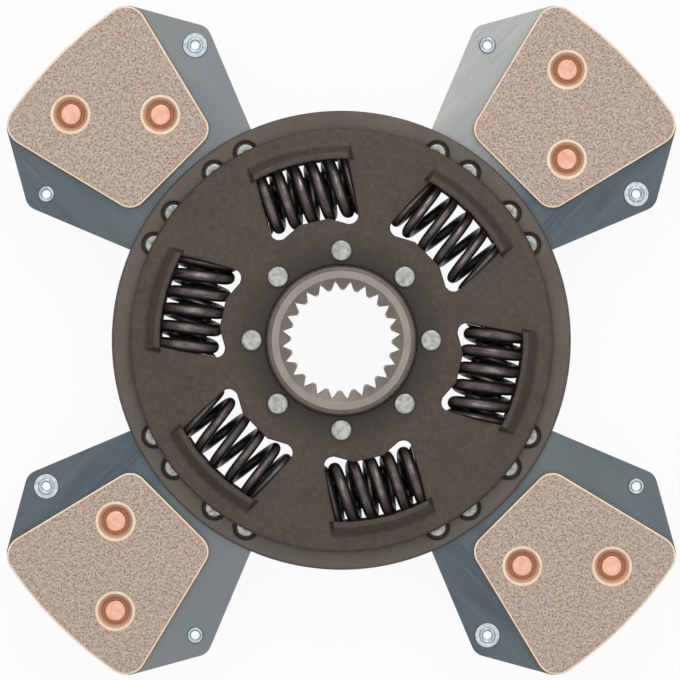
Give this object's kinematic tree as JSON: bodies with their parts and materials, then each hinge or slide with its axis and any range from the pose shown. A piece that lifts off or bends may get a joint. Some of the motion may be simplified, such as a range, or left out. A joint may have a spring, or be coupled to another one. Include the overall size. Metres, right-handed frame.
{
  "type": "clutch disc",
  "caption": "Four-paddle dry clutch disc: sintered friction pads on spring-steel paddles, torsion damper with coil springs between two pressed covers, and a splined hub.",
  "frame": {"origin": "on the hub's axis, in the middle plane of the friction pads", "axes": "+Z along the hub's axis, towards the front (the short end of the hub, the side that the picture shows); +X to the right and +Y up in the picture, with the paddles on the diagonals"},
  "size_m": [0.259, 0.259, 0.0475],
  "materials": {
    "turned_steel": "turned, faint warm oil film",
    "dark_steel": "phosphated and oiled, dark brown-grey, satin",
    "zinc_rivet": "zinc plated, satin",
    "friction_washer": "matte friction compound",
    "spring_steel": "hardened, dark, satin",
    "blued_sheet": "tempered blue-grey sheet, satin",
    "coppered_cup": "copper plated steel, satin",
    "copper_rivet": "copper plated steel, freshly struck",
    "sintered_pad": "sintered, ground, speckled",
    "spring_wire": "oil hardened and lacquered black, glossy"
  },
  "bodies": {
    "hub": {"hub": "turned_steel", "front_cover_plate": "dark_steel", "rear_cover_plate": "dark_steel", "hub_rivets": "zinc_rivet", "front_friction_washer": "friction_washer", "rear_friction_washer": "friction_washer", "disc_spring": "spring_steel"},
    "disc": {"front_driven_plate": "dark_steel", "rear_driven_plate": "dark_steel", "paddle_rivets": "zinc_rivet", "eyelets": "zinc_rivet", "pad_rivets": "copper_rivet", "front_paddle_sheet_1": "blued_sheet", "front_paddle_sheet_2": "blued_sheet", "front_paddle_sheet_3": "blued_sheet", "front_paddle_sheet_4": "blued_sheet", "rear_paddle_sheet_1": "blued_sheet", "rear_paddle_sheet_2": "blued_sheet", "rear_paddle_sheet_3": "blued_sheet", "rear_paddle_sheet_4": "blued_sheet", "front_pad_cup_1": "coppered_cup", "front_pad_cup_2": "coppered_cup", "front_pad_cup_3": "coppered_cup", "front_pad_cup_4": "coppered_cup", "rear_pad_cup_1": "coppered_cup", "rear_pad_cup_2": "coppered_cup", "rear_pad_cup_3": "coppered_cup", "rear_pad_cup_4": "coppered_cup", "front_friction_pad_1": "sintered_pad", "front_friction_pad_2": "sintered_pad", "front_friction_pad_3": "sintered_pad", "front_friction_pad_4": "sintered_pad", "rear_friction_pad_1": "sintered_pad", "rear_friction_pad_2": "sintered_pad", "rear_friction_pad_3": "sintered_pad", "rear_friction_pad_4": "sintered_pad"},
    "springs": {"heavy_spring_1": "spring_wire", "heavy_spring_2": "spring_wire", "heavy_spring_3": "spring_wire", "heavy_spring_4": "spring_wire", "inner_spring_1": "spring_wire", "inner_spring_2": "spring_wire", "inner_spring_3": "spring_wire", "inner_spring_4": "spring_wire", "light_spring_1": "spring_wire", "light_spring_2": "spring_wire"}
  },
  "joints": [
    {"name": "damper_twist", "type": "hinge", "parent": "hub", "child": "disc", "pos_m": [0, 0, 0], "axis": [0, 0, 1], "range_deg": [-4, 4], "stiffness_Nm_per_rad": 1500, "deforming": ["heavy_spring_1", "heavy_spring_2", "heavy_spring_3", "heavy_spring_4", "inner_spring_1", "inner_spring_2", "inner_spring_3", "inner_spring_4", "light_spring_1", "light_spring_2"]},
    {"name": "spring_follow", "type": "hinge", "parent": "hub", "child": "springs", "pos_m": [0, 0, 0], "axis": [0, 0, 1], "range_deg": [-2, 2]}
  ],
  "couplings": [
    {"joint": "spring_follow", "follows": "damper_twist", "ratio": 0.5}
  ]
}
